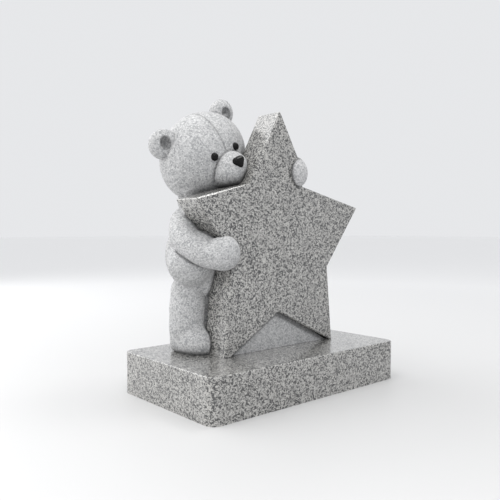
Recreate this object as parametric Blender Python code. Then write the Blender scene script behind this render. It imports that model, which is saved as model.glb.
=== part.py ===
"""Teddy bear headstone: a granite base, and a block carved as a bear hugging a star."""

import math

import bmesh
import bpy
import numpy as np
from mathutils import Euler, Matrix

# Driving dimensions, in metres. The base's underside is centred on the origin, +X runs along the
# base and the star faces -Y.
BASE_LENGTH = 0.610
BASE_DEPTH = 0.355
BASE_HEIGHT = 0.100
BASE_CORNER_RADIUS = 0.024
BASE_EDGE_RADIUS = 0.003
JOINT_GAP = 0.0003

STAR_HEIGHT = 0.583
STAR_WIDTH = 0.549
STAR_THICKNESS = 0.081
STAR_MIDDLE_X = 0.021
STAR_FRONT_SETBACK = 0.122
STAR_EDGE_CHAMFER = 0.002
PANEL_RECESS = 0.014
PANEL_OVERLAP = 0.006
STAR_EXTRA_BELOW = 0.0025

BEAR_HEIGHT = 0.622
BEAR_STAND_X = -0.125
BEAR_BEHIND_STAR = 0.050
PAW_PROUD_OF_STAR = 0.030

# The figure is drawn in units, this many to its height.
UNITS_TALL = 622
CELL_UNITS = 5.2
PROBE_UNITS = 0.1
MESH_FACES = 7400
BALLS_IN_LIMB = 4
LENGTHS_PER_JOINT = 3

STAR_FRONT_Y = STAR_FRONT_SETBACK - BASE_DEPTH / 2
STAR_BACK_Y = STAR_FRONT_Y + STAR_THICKNESS
BLOCK_FOOT_Z = BASE_HEIGHT + JOINT_GAP
BEAR_UNIT = BEAR_HEIGHT / UNITS_TALL
BEAR_STAND = np.array((BEAR_STAND_X, STAR_BACK_Y + BEAR_BEHIND_STAR, BASE_HEIGHT))

# The star's corners, clockwise from its top, as shares of its width from its middle and of its height.
STAR_CORNERS = (
    (-0.040, 1.000),
    (0.073, 0.817),
    (0.104, 0.691),
    (0.500, 0.607),
    (0.277, 0.335),
    (0.311, 0.000),
    (-0.047, 0.158),
    (-0.333, 0.000),
    (-0.357, 0.000),
    (-0.311, 0.403),
    (-0.500, 0.621),
    (-0.213, 0.690),
)
STAR_LEG_CORNERS = (5, 6, 7)

CARVED_GREY = 0.56
CARVED_ROUGHNESS = 0.55
POLISHED_GREY = 0.42
POLISHED_ROUGHNESS = 0.15
CORNER_STEPS = 8
EDGE_STEPS = 2
EYE_RINGS = 8
SHARP_ANGLE = math.radians(40)


def clear_scene():
    for item in list(bpy.data.objects):
        bpy.data.objects.remove(item, do_unlink=True)


def finish(item, material_name, grey, roughness):
    """Gives the item its stone, and a smooth look between its sharp edges."""
    material = bpy.data.materials.new(material_name)
    material.use_nodes = True
    shader = material.node_tree.nodes["Principled BSDF"]
    shader.inputs["Base Color"].default_value = (grey, grey, grey, 1.0)
    shader.inputs["Roughness"].default_value = roughness
    shader.inputs["Metallic"].default_value = 0.0
    item.data.materials.clear()
    item.data.materials.append(material)
    item.data.shade_smooth()
    item.data.set_sharp_from_angle(angle=SHARP_ANGLE)


def object_from_bmesh(name, shape):
    bmesh.ops.recalc_face_normals(shape, faces=shape.faces)
    mesh = bpy.data.meshes.new(name)
    shape.to_mesh(mesh)
    shape.free()
    item = bpy.data.objects.new(name, mesh)
    bpy.context.scene.collection.objects.link(item)
    return item


def apply_modifiers(item):
    """Leaves the item with its modified mesh and no modifiers."""
    bpy.context.view_layer.update()
    graph = bpy.context.evaluated_depsgraph_get()
    mesh = bpy.data.meshes.new_from_object(item.evaluated_get(graph))
    item.modifiers.clear()
    item.data = mesh


def combine(item, tool, operation):
    """Joins the tool to the item, or cuts it away, and removes the tool."""
    boolean = item.modifiers.new(operation.lower(), "BOOLEAN")
    boolean.operation = operation
    boolean.object = tool
    apply_modifiers(item)
    bpy.data.objects.remove(tool, do_unlink=True)


def extruded(outline, along):
    """A solid from the outline, a row of points, and a copy of it moved along."""
    shape = bmesh.new()
    face = shape.faces.new([shape.verts.new(point) for point in outline])
    made = bmesh.ops.extrude_face_region(shape, geom=[face])
    moved = [part for part in made["geom"] if isinstance(part, bmesh.types.BMVert)]
    bmesh.ops.translate(shape, verts=moved, vec=along)
    return shape


def prism(name, outline, front, back):
    """A solid with the outline, in X and Z, from front to back in Y."""
    corners = [(x, front, z) for x, z in outline]
    return object_from_bmesh(name, extruded(corners, (0, back - front, 0)))


# The figure. Every form is an ellipsoid or a tapered limb with round ends, placed on the drawn bear.
# X is to the viewer's right, Y to the back, and Z up from the soles.


def on_bear(x, y, z):
    return BEAR_STAND + BEAR_UNIT * np.array((x, y, z))


def ellipsoid(centre, radii, axes=None):
    axes = np.eye(3) if axes is None else axes
    return {"centre": centre, "radii": BEAR_UNIT * np.array(radii), "axes": axes}


def limb(joints):
    """Tapered lengths along a smooth curve through the joints, each joint a place and a radius."""
    rows = np.array([(*place, radius) for place, radius in joints])
    rows = np.vstack((2 * rows[0] - rows[1], rows, 2 * rows[-1] - rows[-2]))
    curve = []
    for a, b, c, d in zip(rows, rows[1:], rows[2:], rows[3:]):
        for share in np.arange(LENGTHS_PER_JOINT) / LENGTHS_PER_JOINT:
            bend = share**2 * (2 * a - 5 * b + 4 * c - d) + share**3 * (3 * b - a - 3 * c + d)
            curve.append(b + share * (c - a) / 2 + bend / 2)
    curve.append(rows[-2])
    lengths = []
    for (*start, start_radius), (*end, end_radius) in zip(curve, curve[1:]):
        radii = (start_radius * BEAR_UNIT, end_radius * BEAR_UNIT)
        lengths.append({"ends": (np.array(start), np.array(end)), "end_radii": radii})
    return lengths


HEAD_NOD = math.radians(5.5)
HEAD_LEAN = math.radians(-24.5)
HEAD_SWING = math.radians(6.4)
HEAD_TURN = np.array(Euler((HEAD_NOD, HEAD_LEAN, HEAD_SWING)).to_matrix())
HEAD_CENTRE = on_bear(-3.6, 10, 473.4)
EAR_OUT = 127
EAR_BACKS = (9, 2)
EAR_ANGLES = (math.radians(32.5), math.radians(40))
EAR_TURNS = (math.radians(-20), math.radians(-6))
EAR_RADII = (36, 21.5, 35.5)
EAR_HOLLOW_RADII = (12.5, 11, 15.5)
EAR_HOLLOW_RISES = (6.5, 0)
EYE_APART = 76
EYE_FORWARD = 76.5
EYE_UP = 14.5
EYE_RADII = (10, 8.8, 10)
NOSE_WIDE = 15.4
NOSE_DEEP = 9
NOSE_ROUND = 9.5
NOSE_BEND = 0.25
NOSE_FORWARD = 114.5
NOSE_DOWN = 7.2
HIP_APART = 112
PAW_SUNK = 2


def on_head(x, y, z):
    return HEAD_CENTRE + BEAR_UNIT * (HEAD_TURN @ np.array((x, y, z)))


def ears(radii, forward, rises):
    """An ellipsoid of each ear, turned outwards, moved forward and up from the ear's middle."""
    forms = []
    for side, angle, turned, back, rise in zip((-1, 1), EAR_ANGLES, EAR_TURNS, EAR_BACKS, rises):
        turn = HEAD_TURN @ np.array(Matrix.Rotation(turned, 3, "Z"))
        middle = on_head(side * EAR_OUT * math.cos(angle), back, EAR_OUT * math.sin(angle))
        moved = BEAR_UNIT * (rise * turn[:, 2] - forward * turn[:, 1])
        forms.append(ellipsoid(middle + moved, radii, turn))
    return forms


def head_forms():
    skull = ellipsoid(HEAD_CENTRE, (128.7, 81.3, 108.8), HEAD_TURN)
    muzzle = ellipsoid(on_head(1, -78.5, -37.5), (52, 43, 51), HEAD_TURN)
    return [skull, muzzle, *ears(EAR_RADII, 0, (0, 0))]


def ear_hollows():
    return ears(EAR_HOLLOW_RADII, EAR_RADII[1], EAR_HOLLOW_RISES)


def body_forms():
    belly = ellipsoid(on_bear(0, 3, 233), (112, 78, 101))
    tummy = ellipsoid(on_bear(6, -12, 181), (83, 66, 75))
    side = ellipsoid(on_bear(-76, -38, 212), (58, 52, 50))
    chest = ellipsoid(on_bear(0, -3, 300), (85, 60, 60))
    neck = ellipsoid(on_bear(0, 5, 361), (77, 55, 45))
    return [belly, tummy, side, chest, neck]


def near_star(x, depth, z):
    """A place on the drawn bear, that far behind the star's front face."""
    place = on_bear(x, 0, z)
    place[1] = STAR_FRONT_Y + BEAR_UNIT * depth
    return place


def joining_forms():
    """The stone left between the star's back and the bear, out of sight behind them."""
    low = ellipsoid(on_bear(22, -36, 60), (60, 36, 145))
    middle = ellipsoid(on_bear(0, -40, 315), (100, 35, 60))
    high = ellipsoid(on_bear(22, -28, 374), (104, 30, 52))
    inside_arm = ellipsoid(near_star(-70, 54, 257), (36, 34, 33))
    return [low, middle, high, inside_arm]


def leg_forms():
    forms = []
    for side in (-1, 1):
        hip = side * HIP_APART / 2
        leg = [(on_bear(hip, -2, 144), 46), (on_bear(hip, 0, 22), 47)]
        forms += limb(leg)
        forms.append(ellipsoid(on_bear(hip + 8, -28, 20), (50, 54, 46)))
    return forms


def arm_forms():
    """The arm that reaches round below the star's side point, with its paw on the star's face."""
    shoulder = (on_bear(-74, -13, 310), 38)
    elbow = (near_star(-106, 77.5, 272), 28.5)
    forearm = (near_star(-92, 36, 246), 27.5)
    wrist = (near_star(-73, 12, 235), 25.5)
    paw = near_star(-49, PAW_SUNK, 240.9)
    proud = PAW_SUNK + PAW_PROUD_OF_STAR / BEAR_UNIT
    forms = limb([shoulder, elbow, forearm, wrist, (paw, 28)])
    forms.append(ellipsoid(paw, (38.5, proud, 40.5)))
    return forms


def far_arm_forms():
    """The arm behind the star, with its paw over the edge of the star's top point."""
    shoulder = (on_bear(74, -19, 310), 38)
    elbow = (on_bear(145, -22, 370), 34)
    wrist = (near_star(194, 65, 425), 29)
    paw = near_star(187, 13, 436)
    forms = limb([shoulder, elbow, wrist, (paw, 28)])
    forms.append(ellipsoid(paw, (30.4, 32.3, 43)))
    return forms


def distance_to(form, points):
    """About how far the points lie outside the form, negative inside it."""
    if "ends" in form:
        start, end = form["ends"]
        first, last = form["end_radii"]
        along = end - start
        share = np.clip((points - start) @ along / (along @ along), 0, 1)
        middle = start + share[:, None] * along
        return np.linalg.norm(points - middle, axis=1) - (first + share * (last - first))
    local = (points - form["centre"]) @ form["axes"]
    reach = np.linalg.norm(local / form["radii"], axis=1)
    slope = np.linalg.norm(local / form["radii"] ** 2, axis=1)
    return reach * (reach - 1) / np.maximum(slope, 1e-6)


def blended(first, second, radius):
    """The two surfaces as one, with a fillet of about the radius where they meet."""
    near = np.maximum(radius - np.abs(first - second), 0) / radius
    return np.minimum(first, second) - near**2 * radius / 4


def all_of(forms, points, radius):
    whole = distance_to(forms[0], points)
    for form in forms[1:]:
        whole = blended(whole, distance_to(form, points), radius)
    return whole


SOFT_FOLD = 16 * BEAR_UNIT
LIMB_FOLD = 12 * BEAR_UNIT
HIP_FOLD = 6 * BEAR_UNIT
SEAM_FOLD = 6 * BEAR_UNIT


def distance_to_bear(points):
    head = all_of(head_forms(), points, SEAM_FOLD)
    for hollow in ear_hollows():
        head = -blended(-head, distance_to(hollow, points), SEAM_FOLD)
    body = all_of(body_forms() + joining_forms(), points, SOFT_FOLD)
    body = blended(body, all_of(leg_forms(), points, LIMB_FOLD), HIP_FOLD)
    body = blended(body, all_of(arm_forms(), points, LIMB_FOLD), SEAM_FOLD)
    body = blended(body, all_of(far_arm_forms(), points, LIMB_FOLD), SEAM_FOLD)
    return blended(head, body, SEAM_FOLD)


def rough_form(shape, form):
    """Adds the form to the shape, as one ball or as a row of balls."""
    if "ends" in form:
        start, end = form["ends"]
        first, last = form["end_radii"]
        for share in np.linspace(0, 1, BALLS_IN_LIMB):
            place = Matrix.Translation(start + share * (end - start))
            radius = first + share * (last - first)
            bmesh.ops.create_icosphere(shape, subdivisions=3, radius=radius, matrix=place)
        return
    turned = Matrix((form["axes"] * form["radii"]).tolist()).to_4x4()
    place = Matrix.Translation(form["centre"]) @ turned
    bmesh.ops.create_icosphere(shape, subdivisions=4, radius=1.0, matrix=place)


def settle(mesh, rounds):
    """Moves each point of the mesh onto the bear's surface."""
    points = np.empty(len(mesh.vertices) * 3)
    mesh.vertices.foreach_get("co", points)
    points = points.reshape(-1, 3)
    step = PROBE_UNITS * BEAR_UNIT
    for _ in range(rounds):
        distance = distance_to_bear(points)
        slope = np.empty_like(points)
        for axis in range(3):
            offset = np.zeros(3)
            offset[axis] = step
            slope[:, axis] = distance_to_bear(points + offset) - distance_to_bear(points - offset)
        slope /= 2 * step
        steepness = np.maximum((slope**2).sum(axis=1), 0.2)
        move = -slope * (distance / steepness)[:, None]
        length = np.linalg.norm(move, axis=1, keepdims=True)
        points += move * np.minimum(1, CELL_UNITS * BEAR_UNIT / np.maximum(length, 1e-9))
    mesh.vertices.foreach_set("co", points.ravel())
    mesh.update()


def make_bear():
    """The bear's skin as one closed mesh, running on a little below the soles."""
    shape = bmesh.new()
    forms = head_forms() + body_forms() + joining_forms() + leg_forms()
    forms += arm_forms() + far_arm_forms()
    for form in forms:
        rough_form(shape, form)
    bear = object_from_bmesh("bear", shape)
    remesh = bear.modifiers.new("one skin", "REMESH")
    remesh.mode = "VOXEL"
    remesh.voxel_size = CELL_UNITS * BEAR_UNIT
    apply_modifiers(bear)
    settle(bear.data, rounds=4)
    triangles = sum(len(face.vertices) - 2 for face in bear.data.polygons)
    fewer = bear.modifiers.new("fewer faces", "DECIMATE")
    fewer.ratio = min(1, MESH_FACES / triangles)
    apply_modifiers(bear)
    return bear


def make_eye(side):
    shape = bmesh.new()
    centre = Matrix.Translation(on_head(side * EYE_APART / 2, -EYE_FORWARD, EYE_UP))
    size = Matrix((HEAD_TURN * (BEAR_UNIT * np.array(EYE_RADII))).tolist()).to_4x4()
    bmesh.ops.create_uvsphere(
        shape, u_segments=2 * EYE_RINGS, v_segments=EYE_RINGS, radius=1.0, matrix=centre @ size
    )
    return object_from_bmesh("eye", shape)


def make_nose():
    """A rounded triangle, wide at the top, on the end of the muzzle: the hull of three balls."""
    shape = bmesh.new()
    ball = bmesh.new()
    bmesh.ops.create_icosphere(ball, subdivisions=2, radius=NOSE_ROUND * BEAR_UNIT)
    for x, z in ((-NOSE_WIDE / 2, 0), (NOSE_WIDE / 2, 0), (0, -NOSE_DEEP)):
        corner = on_head(x, abs(x) * NOSE_BEND - NOSE_FORWARD, z - NOSE_DOWN)
        for vert in ball.verts:
            shape.verts.new(corner + np.array(vert.co))
    ball.free()
    hull = bmesh.ops.convex_hull(shape, input=shape.verts[:])
    inner = {*hull["geom_interior"], *hull["geom_unused"]}
    bmesh.ops.delete(shape, geom=list(inner), context="VERTS")
    return object_from_bmesh("nose", shape)


def make_star():
    """The star, with the thinner panel between its legs, running on a little below its feet."""
    outline = []
    for across, up in STAR_CORNERS:
        extra = STAR_EXTRA_BELOW if up == 0 else 0
        outline.append((STAR_MIDDLE_X + across * STAR_WIDTH, BASE_HEIGHT + up * STAR_HEIGHT - extra))
    star = prism("star", outline, STAR_FRONT_Y, STAR_BACK_Y)
    chamfer = star.modifiers.new("chamfer", "BEVEL")
    chamfer.width = STAR_EDGE_CHAMFER
    chamfer.segments = 1
    chamfer.limit_method = "ANGLE"
    apply_modifiers(star)
    right, top, left = (outline[index] for index in STAR_LEG_CORNERS)
    inside = ((right[0] - PANEL_OVERLAP, right[1]), (top[0], top[1] + PANEL_OVERLAP), left)
    panel = prism("panel", inside, STAR_FRONT_Y + PANEL_RECESS, STAR_BACK_Y - PANEL_RECESS)
    combine(star, panel, "UNION")
    return star


def make_block():
    """The star and the bear as one stone, cut flat where it stands on the base."""
    block = make_star()
    block.name = "bear_and_star"
    combine(block, make_bear(), "UNION")
    for dome in (make_eye(-1), make_eye(1), make_nose()):
        combine(block, dome, "UNION")
    far = BASE_LENGTH
    below = ((-far, 0), (far, 0), (far, BLOCK_FOOT_Z), (-far, BLOCK_FOOT_Z))
    combine(block, prism("below", below, -far, far), "DIFFERENCE")
    finish(block, "carved_granite", CARVED_GREY, CARVED_ROUGHNESS)


def make_base():
    """The slab, with rounded upright corners and a small round along its top rim."""
    outline = []
    for corner, (right, back) in enumerate(((1, 1), (-1, 1), (-1, -1), (1, -1))):
        x = right * (BASE_LENGTH / 2 - BASE_CORNER_RADIUS)
        y = back * (BASE_DEPTH / 2 - BASE_CORNER_RADIUS)
        for step in range(CORNER_STEPS + 1):
            angle = math.radians(90) * (corner + step / CORNER_STEPS)
            reach = BASE_CORNER_RADIUS * np.array((math.cos(angle), math.sin(angle)))
            outline.append((x + reach[0], y + reach[1], 0))
    shape = extruded(outline, (0, 0, BASE_HEIGHT))
    rim = [edge for edge in shape.edges if min(vert.co.z for vert in edge.verts) > 0]
    bmesh.ops.bevel(
        shape,
        geom=rim,
        offset=BASE_EDGE_RADIUS,
        segments=EDGE_STEPS,
        profile=0.5,
        affect="EDGES",
    )
    base = object_from_bmesh("base", shape)
    finish(base, "polished_granite", POLISHED_GREY, POLISHED_ROUGHNESS)


clear_scene()
make_base()
make_block()
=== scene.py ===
import math

import bmesh
import bpy
import numpy as np
from mathutils import Euler, Matrix, Vector


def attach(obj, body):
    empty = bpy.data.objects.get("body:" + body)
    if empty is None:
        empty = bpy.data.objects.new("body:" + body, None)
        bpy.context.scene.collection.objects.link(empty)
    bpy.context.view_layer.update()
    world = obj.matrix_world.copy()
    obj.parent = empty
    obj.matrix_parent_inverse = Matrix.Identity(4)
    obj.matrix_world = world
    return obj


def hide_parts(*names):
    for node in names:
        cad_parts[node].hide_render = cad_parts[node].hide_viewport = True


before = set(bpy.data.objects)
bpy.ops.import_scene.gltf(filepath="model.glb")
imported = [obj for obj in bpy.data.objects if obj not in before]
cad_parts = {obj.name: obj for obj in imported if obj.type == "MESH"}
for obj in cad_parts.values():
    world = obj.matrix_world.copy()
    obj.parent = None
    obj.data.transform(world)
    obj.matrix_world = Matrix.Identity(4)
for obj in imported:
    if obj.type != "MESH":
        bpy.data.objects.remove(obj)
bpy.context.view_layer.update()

# The base. A sawn and polished slab of grey granite that the memorial stands on. Its upright
# corners are rounded and its top arris is eased, and the carved block is bedded on it by weight.

base_length = 0.610
base_depth = 0.355
base_height = 0.100
base_corner_radius = 0.024
base_corner_steps = 12
base_arris = 0.003
base_arris_steps = 4
base_sharp_angle = 40


def new_item(name, shape):
    """A named object from a mesh under construction, linked to the scene."""
    bmesh.ops.recalc_face_normals(shape, faces=shape.faces)
    mesh = bpy.data.meshes.new(name)
    shape.to_mesh(mesh)
    shape.free()
    item = bpy.data.objects.new(name, mesh)
    bpy.context.scene.collection.objects.link(item)
    return item


def sawn(outline, along):
    """A block sawn to the outline, a row of points, and carried along."""
    shape = bmesh.new()
    face = shape.faces.new([shape.verts.new(point) for point in outline])
    made = bmesh.ops.extrude_face_region(shape, geom=[face])
    moved = [part for part in made["geom"] if isinstance(part, bmesh.types.BMVert)]
    bmesh.ops.translate(shape, verts=moved, vec=along)
    return shape


def crisp(item, degrees):
    """Smooth between its arrises, and sharp at every edge steeper than the angle."""
    item.data.shade_smooth()
    item.data.set_sharp_from_angle(angle=math.radians(degrees))


def granite(name, mica, quartz, feldspar, mica_share, grain, rough, relief, polish=0.0, painted_shade_tone=0.0):
    """Grey granite: dark mica, grey quartz and pale feldspar in grains of about that size.

    Polish lays a clear gloss over the stone; a shade tone darkens it with painted shade.
    """
    bare_reflection = 0.5
    reflection_lost_under_gloss = 0.3
    gloss_roughness = 0.22
    gloss_index = 1.9
    ragged_length = 1.25
    ragged_reach = 1.3
    dark_quartz_share = 0.12
    half_feldspar_share = 0.18
    quartz_in_dark_quartz = 0.45
    flecks_in_grain = 2.3
    fleck_share = 0.22
    fleck_strength = 0.9
    cloud_scale = 14.0
    thin_cloud, thick_cloud = (0.3, 0.93), (0.7, 1.05)
    rougher_mica = 1.5
    mica_edge = 0.1
    teeth_in_grain = 2.0
    tooth_height = 0.0006

    finish = bpy.data.materials.new(name)
    finish.use_nodes = True
    tree = finish.node_tree
    shader = tree.nodes["Principled BSDF"]
    reflection = bare_reflection - reflection_lost_under_gloss * polish
    shader.inputs["Specular IOR Level"].default_value = reflection
    shader.inputs["Coat Weight"].default_value = polish
    shader.inputs["Coat Roughness"].default_value = gloss_roughness
    shader.inputs["Coat IOR"].default_value = gloss_index

    def put(kind, **inputs):
        node = tree.nodes.new(kind)
        for socket, value in inputs.items():
            socket = socket.replace("_", " ")
            if isinstance(value, bpy.types.NodeSocket):
                tree.links.new(value, node.inputs[socket])
            else:
                node.inputs[socket].default_value = value
        return node

    def vector_step(operation, first, second, scale=1.0):
        node = put("ShaderNodeVectorMath")
        node.operation = operation
        tree.links.new(first, node.inputs[0])
        if isinstance(second, bpy.types.NodeSocket):
            tree.links.new(second, node.inputs[1])
        else:
            node.inputs[1].default_value = second
        node.inputs[3].default_value = scale
        return node.outputs["Vector"]

    def ramp(amount, stops, steps="LINEAR"):
        node = put("ShaderNodeValToRGB", Fac=amount)
        node.color_ramp.interpolation = steps
        while len(node.color_ramp.elements) < len(stops):
            node.color_ramp.elements.new(1.0)
        for element, (place, tone) in zip(node.color_ramp.elements, stops):
            element.position = place
            element.color = (*tone, 1.0) if isinstance(tone, tuple) else (tone, tone, tone, 1.0)
        return node.outputs["Color"]

    def mixed(kind, amount, first, second):
        node = put("ShaderNodeMix")
        node.data_type = "RGBA"
        node.blend_type = kind
        for socket, value in (("Factor_Float", amount), ("A_Color", first), ("B_Color", second)):
            into = next(entry for entry in node.inputs if entry.identifier == socket)
            if isinstance(value, bpy.types.NodeSocket):
                tree.links.new(value, into)
            else:
                into.default_value = value
        return next(entry for entry in node.outputs if entry.identifier == "Result_Color")

    def between(first, second, share):
        return tuple((1 - share) * a + share * b for a, b in zip(first, second))

    stone_place = put("ShaderNodeTexCoord").outputs["Object"]
    ragged_scale = 1 / (ragged_length * grain)
    ragged = put("ShaderNodeTexNoise", Vector=stone_place, Scale=ragged_scale, Detail=2.0)
    shifted = vector_step("SUBTRACT", ragged.outputs["Color"], (0.5, 0.5, 0.5))
    shifted = vector_step("SCALE", shifted, (0, 0, 0), scale=ragged_reach * grain)
    ragged_place = vector_step("ADD", stone_place, shifted)

    grains = put("ShaderNodeTexVoronoi", Vector=ragged_place, Scale=1.0 / grain)
    pick = put("ShaderNodeSeparateColor", Color=grains.outputs["Color"]).outputs["Red"]
    halfway = (mica_share + 1.0) / 2
    stone = ramp(
        pick,
        (
            (0.0, mica),
            (mica_share, between(mica, quartz, quartz_in_dark_quartz)),
            (mica_share + dark_quartz_share, quartz),
            (halfway, between(quartz, feldspar, 0.5)),
            (halfway + half_feldspar_share, feldspar),
        ),
        "CONSTANT",
    )
    small = put("ShaderNodeTexVoronoi", Vector=ragged_place, Scale=flecks_in_grain / grain)
    small_pick = put("ShaderNodeSeparateColor", Color=small.outputs["Color"]).outputs["Green"]
    flecks = ramp(small_pick, ((0.0, fleck_strength), (fleck_share, 0.0)), "CONSTANT")
    stone = mixed("MIX", flecks, stone, (*mica, 1.0))
    clouds = put("ShaderNodeTexNoise", Vector=stone_place, Scale=cloud_scale, Detail=5.0)
    clouds = ramp(clouds.outputs["Fac"], (thin_cloud, thick_cloud))
    stone = mixed("MULTIPLY", 1.0, stone, clouds)
    # Painted shade: where the mesh's shade attribute is high, the stone is darkened towards the
    # shade tone.
    if painted_shade_tone:
        painted_shade = put("ShaderNodeAttribute")
        painted_shade.attribute_name = "painted_shade"
        stone = mixed("MULTIPLY", painted_shade.outputs["Fac"], stone, (painted_shade_tone, painted_shade_tone, painted_shade_tone, 1.0))
    tree.links.new(stone, shader.inputs["Base Color"])
    mica_rough = min(1.0, rough * rougher_mica)
    gloss = ramp(pick, ((0.0, mica_rough), (mica_share + mica_edge, rough)))
    tree.links.new(gloss, shader.inputs["Roughness"])

    tooth = put("ShaderNodeTexNoise", Vector=stone_place, Scale=teeth_in_grain / grain, Detail=3.0)
    height = tooth.outputs["Fac"]
    bump = put("ShaderNodeBump", Strength=relief, Distance=tooth_height, Height=height)
    tree.links.new(bump.outputs["Normal"], shader.inputs["Normal"])
    return finish


base_outline = []
for corner, (right, back) in enumerate(((1, 1), (-1, 1), (-1, -1), (1, -1))):
    for step in range(base_corner_steps + 1):
        angle = math.radians(90) * (corner + step / base_corner_steps)
        x = right * (base_length / 2 - base_corner_radius) + base_corner_radius * math.cos(angle)
        y = back * (base_depth / 2 - base_corner_radius) + base_corner_radius * math.sin(angle)
        base_outline.append((x, y, 0))
slab = sawn(base_outline, (0, 0, base_height))
arris = [edge for edge in slab.edges if min(vert.co.z for vert in edge.verts) > 0]
bmesh.ops.bevel(
    slab, geom=arris, offset=base_arris, segments=base_arris_steps, profile=0.5, affect="EDGES"
)
base = new_item("granite_base", slab)
crisp(base, base_sharp_angle)
weighted = base.modifiers.new("flat faces", "WEIGHTED_NORMAL")
weighted.keep_sharp = True

polished_granite = granite(
    "polished_granite",
    mica=(0.018, 0.019, 0.020),
    quartz=(0.355, 0.350, 0.336),
    feldspar=(0.500, 0.491, 0.468),
    mica_share=0.24,
    grain=0.0032,
    rough=0.22,
    relief=0.02,
    polish=1.0,
)
base.data.materials.append(polished_granite)
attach(base, "root")
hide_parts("base")

# The star. It is sawn from the same stone as the bear and polished on its front, back and edges,
# with a fine arris all round. The panel between its legs is set back and left frosted.

star_height = 0.583
star_width = 0.549
star_thickness = 0.081
star_middle_x = 0.021
star_front = 0.122 - base_depth / 2
star_back = star_front + star_thickness
star_arris = 0.0025
star_extra_below = 0.0025
panel_recess = 0.014
panel_overlap = 0.006
panel_shadow = 0.013
panel_deep_shadow = 0.008
star_corners = (
    (-0.040, 1.000),
    (0.073, 0.817),
    (0.104, 0.691),
    (0.500, 0.607),
    (0.277, 0.335),
    (0.311, 0.000),
    (-0.047, 0.158),
    (-0.333, 0.000),
    (-0.357, 0.000),
    (-0.311, 0.403),
    (-0.500, 0.621),
    (-0.213, 0.690),
)
star_leg_corners = (5, 6, 7)
star_left_point = 10


def settled_mesh(item):
    """Leaves the item with the mesh that its modifiers make."""
    bpy.context.view_layer.update()
    graph = bpy.context.evaluated_depsgraph_get()
    mesh = bpy.data.meshes.new_from_object(item.evaluated_get(graph))
    item.modifiers.clear()
    item.data = mesh


def joined(item, tool, operation="UNION"):
    """Joins the tool to the item, or cuts it away, and takes the tool out of the scene."""
    cut = item.modifiers.new("cut", "BOOLEAN")
    cut.operation = operation
    cut.object = tool
    cut.solver = "MANIFOLD"
    settled_mesh(item)
    bpy.data.objects.remove(tool, do_unlink=True)


frosted_granite = granite(
    "frosted_granite",
    mica=(0.330, 0.335, 0.342),
    quartz=(0.515, 0.515, 0.517),
    feldspar=(0.63, 0.63, 0.63),
    mica_share=0.20,
    grain=0.0030,
    rough=0.62,
    relief=0.35,
    painted_shade_tone=0.10,
)

star_outline = []
for across, up in star_corners:
    foot = star_extra_below if up == 0 else 0
    star_outline.append(
        (star_middle_x + across * star_width, base_height + up * star_height - foot)
    )
block = new_item(
    "bear_and_star_block",
    sawn([(x, star_front, z) for x, z in star_outline], (0, star_thickness, 0)),
)
block.data.materials.append(polished_granite)
block.data.materials.append(frosted_granite)
eased = block.modifiers.new("arris", "BEVEL")
eased.width = star_arris
eased.segments = 1
eased.limit_method = "ANGLE"
settled_mesh(block)
right_foot, notch, left_foot = (star_outline[corner] for corner in star_leg_corners)
panel_outline = (
    (right_foot[0] - panel_overlap, right_foot[1]),
    (notch[0], notch[1] + panel_overlap),
    left_foot,
)
panel_front = star_front + panel_recess
panel_stone = sawn(
    [(x, panel_front, z) for x, z in panel_outline], (0, star_thickness - 2 * panel_recess, 0)
)
for foot in (right_foot, left_foot):
    along = Vector((foot[0] - notch[0], 0, foot[1] - notch[1])).normalized()
    inwards = along.cross((0, 1, 0))
    inwards *= -math.copysign(1, inwards.z)
    for margin in (panel_deep_shadow, panel_shadow):
        bmesh.ops.bisect_plane(
            panel_stone,
            geom=panel_stone.verts[:] + panel_stone.edges[:] + panel_stone.faces[:],
            plane_co=Vector((notch[0], 0, notch[1])) + margin * inwards,
            plane_no=inwards,
        )
panel = new_item("panel", panel_stone)
panel.data.materials.append(frosted_granite)
joined(block, panel)

# The bear. It is carved in the round behind the star, one arm round the side and the other over
# the back, and blasted to a fine frosted skin. Its seams and folds are cut as narrow grooves.

bear_stand = np.array((-0.125, star_back + 0.050, base_height))
paw_proud_of_star = 0.030
ear_from_head_centre = 0.127


def on_bear(x, y, z):
    """X to the viewer's right, Y to the back and Z up, from between the soles."""
    return bear_stand + np.array((x, y, z))


def near_star(x, depth, z):
    """A place on the bear, that far behind the star's front face."""
    return np.array((bear_stand[0] + x, star_front + depth, bear_stand[2] + z))


def rounded(centre, radii, axes=None):
    """An egg-shaped form, upright unless its axes are given."""
    return {"centre": centre, "radii": np.array(radii), "axes": np.eye(3) if axes is None else axes}


def limb(joints):
    """Tapered lengths along a smooth curve through the joints, each joint a place and a radius."""
    rows = np.array([(*place, radius) for place, radius in joints])
    rows = np.vstack((2 * rows[0] - rows[1], rows, 2 * rows[-1] - rows[-2]))
    curve = []
    for a, b, c, d in zip(rows, rows[1:], rows[2:], rows[3:]):
        for share in (0, 1 / 3, 2 / 3):
            bend = share**2 * (2 * a - 5 * b + 4 * c - d) + share**3 * (3 * b - a - 3 * c + d)
            curve.append(b + share * (c - a) / 2 + bend / 2)
    curve.append(rows[-2])
    return [
        {"ends": (start[:3], end[:3]), "end_radii": (start[3], end[3])}
        for start, end in zip(curve, curve[1:])
    ]


head_turn = np.array(
    Euler((math.radians(5.5), math.radians(-24.5), math.radians(6.4))).to_matrix()
)
head_centre = on_bear(-0.0036, 0.010, 0.4734)


def on_head(x, y, z):
    """A place on the tilted head, from its centre."""
    return head_centre + head_turn @ np.array((x, y, z))


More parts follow.
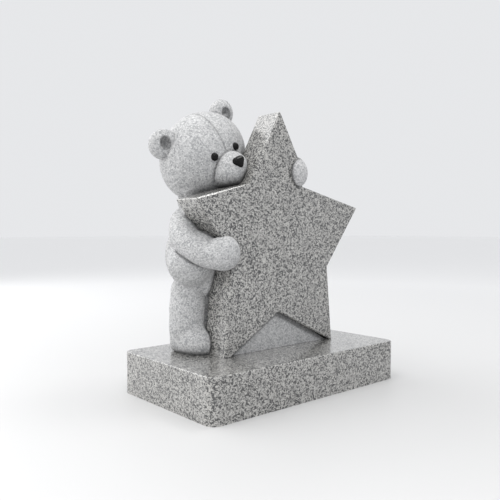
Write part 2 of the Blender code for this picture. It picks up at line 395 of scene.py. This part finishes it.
def ear_pair(radii, forward, rises):
    """A form for each ear, turned outwards and moved forward and up from the ear's middle."""
    forms = []
    for side, angle, turned, back, rise in (
        (-1, 32.5, -20, 0.009, rises[0]),
        (1, 40, -6, 0.002, rises[1]),
    ):
        angle = math.radians(angle)
        turn = head_turn @ np.array(Matrix.Rotation(math.radians(turned), 3, "Z"))
        out = side * ear_from_head_centre * math.cos(angle)
        middle = on_head(out, back, ear_from_head_centre * math.sin(angle))
        forms.append(rounded(middle + rise * turn[:, 2] - forward * turn[:, 1], radii, turn))
    return forms


skull = [rounded(head_centre, (0.1287, 0.0813, 0.1088), head_turn)]
muzzle = [rounded(on_head(0.001, -0.0785, -0.0375), (0.0520, 0.0430, 0.0510), head_turn)]
ear_radii = (0.0360, 0.0215, 0.0355)
both_ears = ear_pair(ear_radii, 0, (0, 0))
ear_hollows = ear_pair((0.0125, 0.0110, 0.0155), ear_radii[1], (0.0065, 0.0))
trunk = [
    rounded(on_bear(0, 0.003, 0.233), (0.112, 0.078, 0.101)),
    rounded(on_bear(0.006, -0.012, 0.181), (0.083, 0.066, 0.075)),
    rounded(on_bear(-0.076, -0.038, 0.212), (0.058, 0.052, 0.050)),
    rounded(on_bear(0, -0.003, 0.300), (0.085, 0.060, 0.060)),
    rounded(on_bear(0, 0.005, 0.361), (0.077, 0.055, 0.045)),
]
stone_left_between = [
    rounded(on_bear(0.022, -0.036, 0.060), (0.060, 0.036, 0.145)),
    rounded(on_bear(0, -0.040, 0.315), (0.100, 0.035, 0.060)),
    rounded(on_bear(0.022, -0.028, 0.374), (0.104, 0.030, 0.052)),
    rounded(near_star(-0.070, 0.054, 0.257), (0.036, 0.034, 0.033)),
]
both_legs = []
for hip in (-0.056, 0.056):
    both_legs += limb([(on_bear(hip, -0.002, 0.144), 0.046), (on_bear(hip, 0, 0.022), 0.047)])
    both_legs.append(rounded(on_bear(hip + 0.008, -0.028, 0.020), (0.050, 0.054, 0.046)))
near_paw = near_star(-0.049, 0.002, 0.2409)
near_arm = limb(
    [
        (on_bear(-0.074, -0.013, 0.310), 0.038),
        (near_star(-0.106, 0.0775, 0.272), 0.0285),
        (near_star(-0.092, 0.036, 0.246), 0.0275),
        (near_star(-0.073, 0.012, 0.2350), 0.0255),
        (near_paw, 0.028),
    ]
)
near_arm.append(rounded(near_paw, (0.0385, 0.002 + paw_proud_of_star, 0.0405)))
far_paw = near_star(0.187, 0.013, 0.436)
far_arm = limb(
    [
        (on_bear(0.074, -0.019, 0.310), 0.038),
        (on_bear(0.145, -0.022, 0.370), 0.034),
        (near_star(0.194, 0.065, 0.425), 0.029),
        (far_paw, 0.028),
    ]
)
far_arm.append(rounded(far_paw, (0.0304, 0.0323, 0.0430)))


def depth_of(form, points):
    """About how far the points lie outside the form, negative inside it."""
    if "ends" in form:
        start, end = form["ends"]
        first, last = form["end_radii"]
        along = end - start
        share = np.clip((points - start) @ along / (along @ along), 0, 1)
        middle = start + share[:, None] * along
        return np.linalg.norm(points - middle, axis=1) - (first + share * (last - first))
    local = (points - form["centre"]) @ form["axes"]
    reach = np.linalg.norm(local / form["radii"], axis=1)
    slope = np.linalg.norm(local / form["radii"] ** 2, axis=1)
    return reach * (reach - 1) / np.maximum(slope, 1e-6)


def melded(first, second, fold):
    """The two surfaces as one, with a fillet of about the fold's size where they meet."""
    near = np.maximum(fold - np.abs(first - second), 0) / fold
    return np.minimum(first, second) - near**2 * fold / 4


def all_of(forms, points, fold):
    """How far the points lie outside all the forms together."""
    whole = depth_of(forms[0], points)
    for form in forms[1:]:
        whole = melded(whole, depth_of(form, points), fold)
    return whole


soft_fold = 0.016
limb_fold = 0.012
hip_fold = 0.006
tight_fold = 0.0025
crease_width = 0.0013
crease_depth = 0.0014
seam_depth = 0.0008
seam_end_gap = 0.003
limb_crease_width = 0.0032
leg_crease_depth = 0.0008
near_arm_crease_depth = 0.0022
far_arm_crease_depth = 0.0015
undercut_width = 0.0050
undercut_depth = 0.0040
# These offsets move each fold's measure outwards, which makes its painted shade paler.
muzzle_crease_paler = 0.0006
seam_paler = 0.0005
ear_crease_paler = 0.001
arm_crease_paler = 0.0012
leg_crease_paler = 0.0024


def from_fold(first, second):
    """How far a point on one of two surfaces is from the line where they meet."""
    return np.maximum(np.abs(first), np.abs(second))


def fading(distance, width):
    """One at no distance, and fading smoothly to nothing beyond the width."""
    return np.exp(-((distance / width) ** 2))


def outside_star(points):
    """How far the points lie outside the star, negative inside it."""
    flat = points[:, (0, 2)]
    nearest = np.full(len(points), np.inf)
    inside = np.zeros(len(points), bool)
    corners = np.array(star_outline)
    for start, end in zip(corners, np.roll(corners, -1, axis=0)):
        along = end - start
        share = np.clip((flat - start) @ along / (along @ along), 0, 1)
        offset = flat - start - share[:, None] * along
        nearest = np.minimum(nearest, np.linalg.norm(offset, axis=1))
        crosses = (start[1] > flat[:, 1]) != (end[1] > flat[:, 1])
        reach = start[0] + (flat[:, 1] - start[1]) * along[0] / (along[1] or 1e-9)
        inside ^= crosses & (flat[:, 0] < reach)
    edgewise = np.where(inside, -nearest, nearest)
    through = np.maximum(star_front - points[:, 1], points[:, 1] - star_back)
    both = np.linalg.norm(np.maximum(np.stack((edgewise, through)), 0), axis=0)
    return both + np.minimum(np.maximum(edgewise, through), 0)


def bear_surface(points):
    """How far the points lie outside the carved bear, and how far from its nearest fold or seam."""
    bare_head = all_of(skull, points, soft_fold)
    snout = all_of(muzzle, points, soft_fold)
    lugs = all_of(both_ears, points, tight_fold)
    muzzle_crease = from_fold(bare_head, snout)
    folds = [from_fold(np.minimum(bare_head, snout), lugs) + ear_crease_paler]
    seam = np.abs((points - head_centre) @ head_turn[:, 0]) + np.abs(bare_head)
    seam += np.maximum(seam_end_gap - (snout - bare_head), 0)
    seam += np.maximum(seam_end_gap - (lugs - bare_head), 0)
    head = melded(bare_head, snout, tight_fold)
    head += crease_depth * fading(muzzle_crease, crease_width)
    head += seam_depth * fading(seam, crease_width)
    head = melded(head, lugs, tight_fold)
    folds.append(np.maximum(muzzle_crease - crease_depth, 0) + muzzle_crease_paler)
    folds.append(seam + seam_paler)
    for hollow in ear_hollows:
        dip = depth_of(hollow, points)
        folds.append(from_fold(head, dip) + ear_crease_paler)
        head = -melded(-head, dip, tight_fold)
    body = all_of(trunk, points, soft_fold)
    for limbs, fold, groove, paler in (
        (both_legs, hip_fold, leg_crease_depth, leg_crease_paler),
        (near_arm, tight_fold, near_arm_crease_depth, arm_crease_paler),
        (far_arm, tight_fold, far_arm_crease_depth, arm_crease_paler),
    ):
        other = all_of(limbs, points, limb_fold)
        line = from_fold(body, other)
        folds.append(np.maximum(line - groove, 0) + paler)
        body = melded(body, other, fold) + groove * fading(line, limb_crease_width)
    folds.append(from_fold(head, body))
    whole = melded(head, body, tight_fold)
    gap = np.minimum(np.abs(outside_star(points)), np.abs(points[:, 2] - base_height))
    whole += undercut_depth * fading(gap, undercut_width)
    folds.append(np.maximum(np.abs(whole), 0.5 * gap))
    whole = melded(whole, all_of(stone_left_between, points, soft_fold), limb_fold)
    return whole, np.min(folds, axis=0)


def mesh_points(mesh):
    points = np.empty(len(mesh.vertices) * 3)
    mesh.vertices.foreach_get("co", points)
    return points.reshape(-1, 3)


def carve(mesh, rounds, longest):
    """Moves each point of the mesh onto the bear's surface, no further than longest in a round."""
    points = mesh_points(mesh)
    probe = 5e-5
    gentlest_slope = 0.2
    for _ in range(rounds):
        depth = bear_surface(points)[0]
        slope = np.empty_like(points)
        for axis in range(3):
            offset = np.zeros(3)
            offset[axis] = probe
            slope[:, axis] = (bear_surface(points + offset)[0] - depth) / probe
        steep = np.maximum((slope**2).sum(axis=1), gentlest_slope)
        move = -slope * (depth / steep)[:, None]
        length = np.linalg.norm(move, axis=1, keepdims=True)
        points += move * np.minimum(1, longest / np.maximum(length, 1e-9))
    mesh.vertices.foreach_set("co", points.ravel())
    mesh.update()


skin_cell = 0.0034
fine_bands = ((0.0047, skin_cell / 2), (0.0023, skin_cell / 4))

rough_bear = bmesh.new()
limb_forms = both_legs + near_arm + far_arm
for form in skull + muzzle + both_ears + trunk + stone_left_between + limb_forms:
    if "ends" in form:
        start, end = form["ends"]
        first, last = form["end_radii"]
        for share in (0, 1 / 3, 2 / 3, 1):
            place = Matrix.Translation(start + share * (end - start))
            radius = first + share * (last - first)
            bmesh.ops.create_icosphere(rough_bear, subdivisions=3, radius=radius, matrix=place)
    else:
        turned = Matrix((form["axes"] * form["radii"]).tolist()).to_4x4()
        place = Matrix.Translation(form["centre"]) @ turned
        bmesh.ops.create_icosphere(rough_bear, subdivisions=5, radius=1.0, matrix=place)
bear = new_item("bear", rough_bear)
skin = bear.modifiers.new("one skin", "REMESH")
skin.mode = "VOXEL"
skin.voxel_size = skin_cell
settled_mesh(bear)
carve(bear.data, 3, skin_cell)

for band, longest in fine_bands:
    fine = bmesh.new()
    fine.from_mesh(bear.data)
    near_fold = bear_surface(mesh_points(bear.data))[1] < band
    fine.verts.ensure_lookup_table()
    cut_edges = [
        edge for edge in fine.edges
        if near_fold[edge.verts[0].index] and near_fold[edge.verts[1].index]
    ]
    bmesh.ops.subdivide_edges(fine, edges=cut_edges, cuts=1, use_grid_fill=True)
    bmesh.ops.triangulate(fine, faces=fine.faces)
    fine.to_mesh(bear.data)
    fine.free()
    carve(bear.data, 2, longest)
bear.data.materials.append(frosted_granite)

# The eyes and the nose. They are low domes left standing on the face, rubbed smooth and painted
# gloss black. The nose is a rounded triangle, wide at the top.

eye_aside = 0.038
eye_forward = 0.0765
eye_up = 0.0145
eye_radii = (0.0100, 0.0088, 0.0100)
nose_half_width = 0.0077
nose_drop = 0.009
nose_round = 0.0095
nose_forward = 0.1145
nose_down = 0.0072
nose_side_set_back = 0.25

black_paint = bpy.data.materials.new("gloss_black_paint")
black_paint.use_nodes = True
paint_tree = black_paint.node_tree
paint = paint_tree.nodes["Principled BSDF"]
paint.inputs["Specular IOR Level"].default_value = 0.15
brushed = paint_tree.nodes.new("ShaderNodeTexNoise")
brushed.inputs["Scale"].default_value = 420.0
brushed.inputs["Detail"].default_value = 3.0
paint_place = paint_tree.nodes.new("ShaderNodeTexCoord")
paint_tree.links.new(paint_place.outputs["Object"], brushed.inputs["Vector"])
for socket, low, high in (("Base Color", 0.003, 0.010), ("Roughness", 0.08, 0.16)):
    spread = paint_tree.nodes.new("ShaderNodeValToRGB")
    spread.color_ramp.elements[0].color = (low, low, low, 1.0)
    spread.color_ramp.elements[1].color = (high, high, high, 1.0)
    paint_tree.links.new(brushed.outputs["Fac"], spread.inputs["Fac"])
    paint_tree.links.new(spread.outputs["Color"], paint.inputs[socket])

domes = []
for side in (-1, 1):
    eye = bmesh.new()
    place = Matrix.Translation(on_head(side * eye_aside, -eye_forward, eye_up))
    size = Matrix((head_turn * np.array(eye_radii)).tolist()).to_4x4()
    bmesh.ops.create_uvsphere(eye, u_segments=40, v_segments=24, radius=1.0, matrix=place @ size)
    domes.append(new_item("eye", eye))
nose = bmesh.new()
ball = bmesh.new()
bmesh.ops.create_icosphere(ball, subdivisions=4, radius=nose_round)
for x, z in ((-nose_half_width, 0), (nose_half_width, 0), (0, -nose_drop)):
    corner = on_head(x, abs(x) * nose_side_set_back - nose_forward, z - nose_down)
    for vert in ball.verts:
        nose.verts.new(corner + np.array(vert.co))
ball.free()
hull = bmesh.ops.convex_hull(nose, input=nose.verts[:])
inner = {*hull["geom_interior"], *hull["geom_unused"]}
bmesh.ops.delete(nose, geom=list(inner), context="VERTS")
domes.append(new_item("nose", nose))
for dome in domes:
    dome.data.materials.append(black_paint)
block.data.materials.append(black_paint)

# The carved block. Star, panel and bear are one stone: their meshes are joined here, and the
# whole is cut flat where it is bedded on the base. Painted shade darkens its creases, hollows,
# gaps and contacts, and a painted shadow lies under the chin.

joint = 0.0003
block_sharp_angle = 32
# Painted shade, strength and width for each place: along folds and seams, in the ear hollows,
# against the star and the base, under the chin, in the gaps and along the panel's recessed edges.
fold_shade, fold_shade_width = 0.60, 0.0026
hollow_shade, hollow_shade_edge = 0.66, 0.003
star_shade, star_shade_width = 0.8, 0.0055
base_shade, base_shade_width = 0.6, 0.0110
chin_shade_width = 0.0170
chin_shade_starts, chin_shade_grows = 0.005, 0.035
chin_shade_top, chin_shade_fades = 0.095, 0.030
gap_shade, gap_slack = 0.6, 0.001
skin_slack = 0.002
panel_shade = 0.60

joined(block, bear)
for dome in domes:
    joined(block, dome)
far = base_length
bed_top = base_height + joint
bed_outline = [(-far, -far, 0), (far, -far, 0), (far, -far, bed_top), (-far, -far, bed_top)]
joined(block, new_item("bed", sawn(bed_outline, (0, 2 * far, 0))), "DIFFERENCE")
crisp(block, block_sharp_angle)

block_points = mesh_points(block.data)
off_skin, off_fold = bear_surface(block_points)
off_star = outside_star(block_points)
off_base = block_points[:, 2] - base_height
# Painted shade along the carved folds and seams.
shade = fold_shade * fading(off_fold, fold_shade_width)
# Painted shade in the ear hollows.
for hollow in ear_hollows:
    sunk = np.clip(1 - depth_of(hollow, block_points) / hollow_shade_edge, 0, 1)
    shade = np.maximum(shade, hollow_shade * sunk)
# Painted shade where the bear meets the star and the base.
shade = np.maximum(shade, star_shade * fading(off_star, star_shade_width))
shade = np.maximum(shade, base_shade * fading(off_base, base_shade_width))
# Painted shadow under the head, where it hangs over the star's left arm.
point_x, point_z = star_outline[star_left_point]
along_x, up_z = block_points[:, 0] - point_x, block_points[:, 2] - point_z
under_chin = (block_points[:, 2] > point_z) & (block_points[:, 0] < star_middle_x)
under_chin = under_chin * np.clip((along_x - chin_shade_starts) / chin_shade_grows, 0, 1)
under_chin *= np.clip((chin_shade_top - up_z) / chin_shade_fades, 0, 1)
# Painted shade on the stone left between the parts, deep in the gaps.
in_gaps = np.abs(all_of(stone_left_between, block_points, soft_fold)) < gap_slack
shade = np.maximum(shade, gap_shade * in_gaps)
shade = np.maximum(shade, under_chin * fading(off_star, chin_shade_width))
shade[np.abs(off_skin) > skin_slack] = 0
# Painted shade on the recessed panel, along its edges under the star's legs.
on_panel = (np.abs(block_points[:, 1] - panel_front) < 1e-4) & (off_star > -1e-4)
panel_edge = np.clip(
    (panel_shadow - off_star[on_panel]) / (panel_shadow - panel_deep_shadow), 0, 1
)
shade[on_panel] = panel_shade * panel_edge
# The painted shade is kept on the block's points, for the frosted granite to darken by.
painted_shade = block.data.attributes.new("painted_shade", "FLOAT", "POINT")
painted_shade.data.foreach_set("value", shade.astype(np.float32))
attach(block, "root")
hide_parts("bear_and_star")

# The floor. A plain pale studio sweep that the memorial stands on for the picture, no part of it.
# It grows paler with the distance, so that it meets the pale surround without a hard line.

floor_reach = 30.0
grey_to = 0.5
pale_from = 3.0
near_tone, far_tone = 0.66, 0.95

sweep = bmesh.new()
floor_corners = ((-1, -1), (1, -1), (1, 1), (-1, 1))
sweep.faces.new([sweep.verts.new((floor_reach * x, floor_reach * y, 0)) for x, y in floor_corners])
floor = new_item("floor", sweep)
pale_floor = bpy.data.materials.new("pale_floor")
pale_floor.use_nodes = True
floor_tree = pale_floor.node_tree
floor_shader = floor_tree.nodes["Principled BSDF"]
floor_place = floor_tree.nodes.new("ShaderNodeTexCoord")
from_middle = floor_tree.nodes.new("ShaderNodeVectorMath")
from_middle.operation = "LENGTH"
floor_tree.links.new(floor_place.outputs["Object"], from_middle.inputs[0])
paler = floor_tree.nodes.new("ShaderNodeMapRange")
paler.inputs["From Min"].default_value = grey_to
paler.inputs["From Max"].default_value = pale_from
paler.inputs["To Min"].default_value = near_tone
paler.inputs["To Max"].default_value = far_tone
floor_tree.links.new(from_middle.outputs["Value"], paler.inputs["Value"])
floor_tree.links.new(paler.outputs["Result"], floor_shader.inputs["Base Color"])
floor_shader.inputs["Roughness"].default_value = 0.5
floor.data.materials.append(pale_floor)

# The light. Soft boxes above, behind, to the left and in front, and a small lamp beside the
# camera, in an even pale surround. The box behind gives the polished edges their sheen.

surround = bpy.data.worlds.new("pale surround")
surround.use_nodes = True
surround.node_tree.nodes["Background"].inputs["Color"].default_value = (0.97, 0.98, 1.0, 1.0)
surround.node_tree.nodes["Background"].inputs["Strength"].default_value = 0.82
bpy.context.scene.world = surround
white = (1.0, 1.0, 1.0)
warm_white = (1.0, 0.99, 0.97)
warm = (1.0, 0.98, 0.94)
memorial_middle = (0, 0, 0.4)
memorial_foot = (0, 0, 0.3)


def soft_box(name, place, target, size, watts, tint):
    """A square light of that size at the place, turned to the target."""
    lamp = bpy.data.lights.new(name, "AREA")
    lamp.shape = "SQUARE"
    lamp.size = size
    lamp.energy = watts
    lamp.color = tint
    holder = bpy.data.objects.new(name, lamp)
    holder.location = place
    aim = Vector(target) - Vector(place)
    holder.rotation_euler = aim.to_track_quat("-Z", "Y").to_euler()
    bpy.context.scene.collection.objects.link(holder)


soft_box("top box", (0.75, -0.28, 2.28), memorial_middle, 0.7, 9.0, warm_white)
soft_box("upper left box", (-0.7, -0.2, 2.2), memorial_middle, 1.2, 11.0, warm_white)
soft_box("back box", (-1.1, 2.1, 1.9), memorial_middle, 3.0, 40.0, white)
soft_box("left box", (-2.2, 0.5, 0.9), memorial_middle, 1.4, 8.0, warm)
soft_box("front box", (0.6, -2.6, 1.4), memorial_foot, 1.6, 1.5, white)
soft_box("small lamp", (-0.9, -1.4, 1.5), memorial_middle, 0.45, 3.5, white)

# The camera. It stands where the photograph was taken, to the left of the star's face and a
# little above the star's middle.

camera_place = (-0.9916, -1.0810, 0.3922)
camera_yaw = 0.7161
camera_pitch = 0.0341
picture_width = 500
focal_pixels = 580.03
film_width = 36.0

ahead = Vector(
    (
        math.sin(camera_yaw) * math.cos(camera_pitch),
        math.cos(camera_yaw) * math.cos(camera_pitch),
        -math.sin(camera_pitch),
    )
)
across = Vector((math.cos(camera_yaw), -math.sin(camera_yaw), 0))
upward = across.cross(ahead)
lens = bpy.data.cameras.new("camera")
lens.sensor_width = film_width
lens.lens = film_width * focal_pixels / picture_width
camera = bpy.data.objects.new("camera", lens)
camera_axes = Matrix((across, upward, -ahead)).transposed().to_4x4()
camera.matrix_world = Matrix.Translation(camera_place) @ camera_axes
bpy.context.scene.collection.objects.link(camera)
bpy.context.scene.camera = camera
bpy.context.scene.view_settings.view_transform = "Standard"
